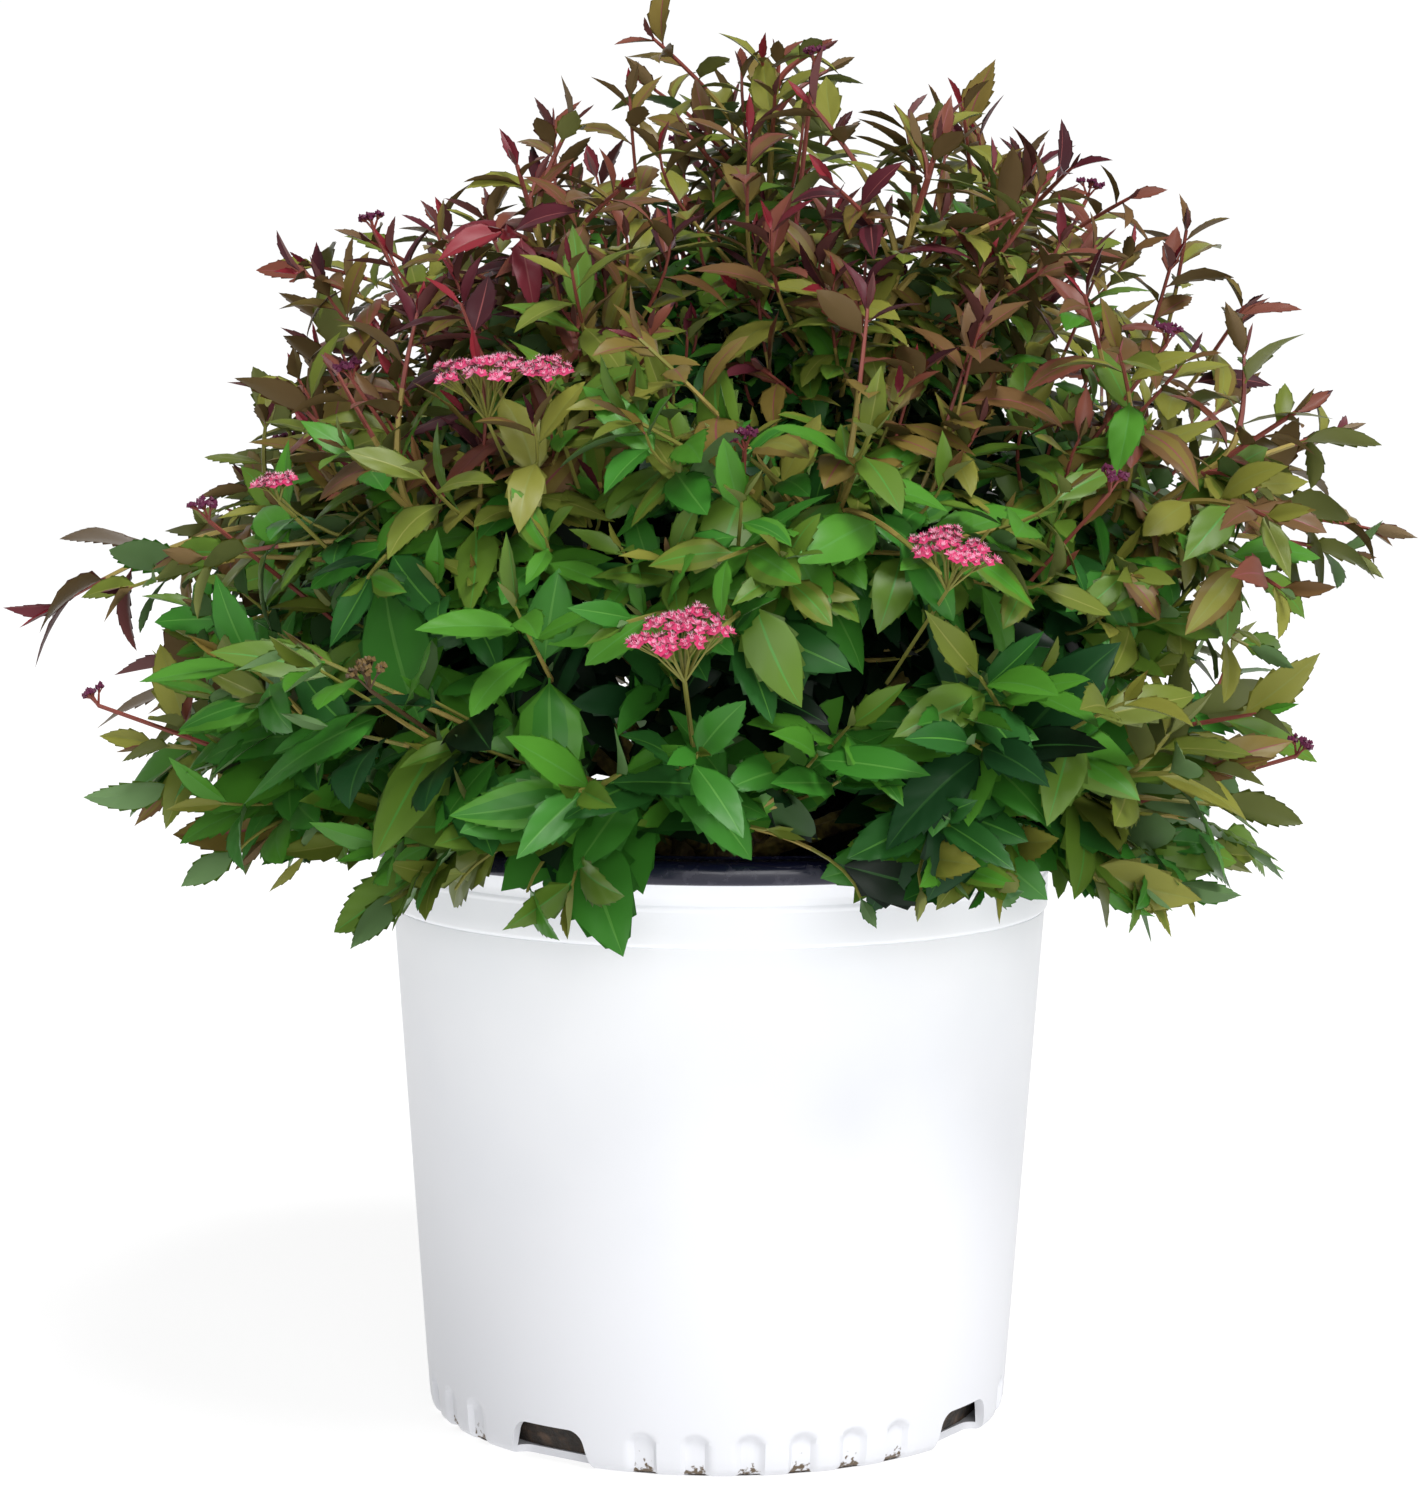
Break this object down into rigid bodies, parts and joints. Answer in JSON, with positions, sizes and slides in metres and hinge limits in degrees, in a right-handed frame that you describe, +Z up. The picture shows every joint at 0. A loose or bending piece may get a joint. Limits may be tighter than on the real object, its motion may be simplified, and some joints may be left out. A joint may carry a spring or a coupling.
{
  "type": "potted spirea shrub",
  "caption": "Bushy spirea shrub with bronze and red shoot tips and flat pink flower heads, growing in a round white nursery pot filled with bark mix.",
  "frame": {"origin": "centre of the pot's flat underside", "axes": "+Z up, +X to the plant's right as seen from its front, -Y towards the front"},
  "size_m": [0.5578, 0.5433, 0.5633],
  "materials": {
    "white_pot": "satin blow-moulded polyethylene, cool white",
    "navy_pot": "glossy navy-black polyethylene",
    "bark_mix": "moist composted bark and peat",
    "old_bark": "rough grey-brown bark",
    "cane_bark": "smooth tan cane",
    "green_leaf": "soft matt leaf, saturated green",
    "olive_leaf": "soft matt leaf, olive green",
    "bronze_leaf": "soft matt leaf, olive to bronze",
    "red_leaf": "soft matt young leaf, dark red"
  },
  "bodies": {
    "root": {"crest_cane_1": "cane_bark", "crest_foliage_1": "red_leaf", "low_cane_1": "cane_bark", "low_cane_2": "cane_bark", "low_cane_3": "cane_bark", "low_cane_4": "cane_bark", "low_cane_5": "cane_bark", "low_cane_6": "cane_bark", "low_foliage_1": "green_leaf", "low_foliage_2": "green_leaf", "low_foliage_3": "green_leaf", "low_foliage_4": "green_leaf", "low_foliage_5": "green_leaf", "low_foliage_6": "green_leaf", "middle_cane_1": "cane_bark", "middle_cane_2": "cane_bark", "middle_cane_3": "cane_bark", "middle_cane_4": "cane_bark", "middle_cane_5": "cane_bark", "middle_cane_6": "cane_bark", "middle_cane_7": "cane_bark", "middle_foliage_1": "olive_leaf", "middle_foliage_2": "olive_leaf", "middle_foliage_3": "olive_leaf", "middle_foliage_4": "olive_leaf", "middle_foliage_5": "olive_leaf", "middle_foliage_6": "olive_leaf", "middle_foliage_7": "olive_leaf", "pot_rim": "navy_pot", "pot_wall": "white_pot", "potting_mix": "bark_mix", "root_crown": "old_bark", "top_cane_1": "cane_bark", "top_cane_2": "cane_bark", "top_cane_3": "cane_bark", "top_cane_4": "cane_bark", "top_cane_5": "cane_bark", "top_foliage_1": "bronze_leaf", "top_foliage_2": "bronze_leaf", "top_foliage_3": "bronze_leaf", "top_foliage_4": "bronze_leaf", "top_foliage_5": "bronze_leaf"}
  },
  "joints": []
}
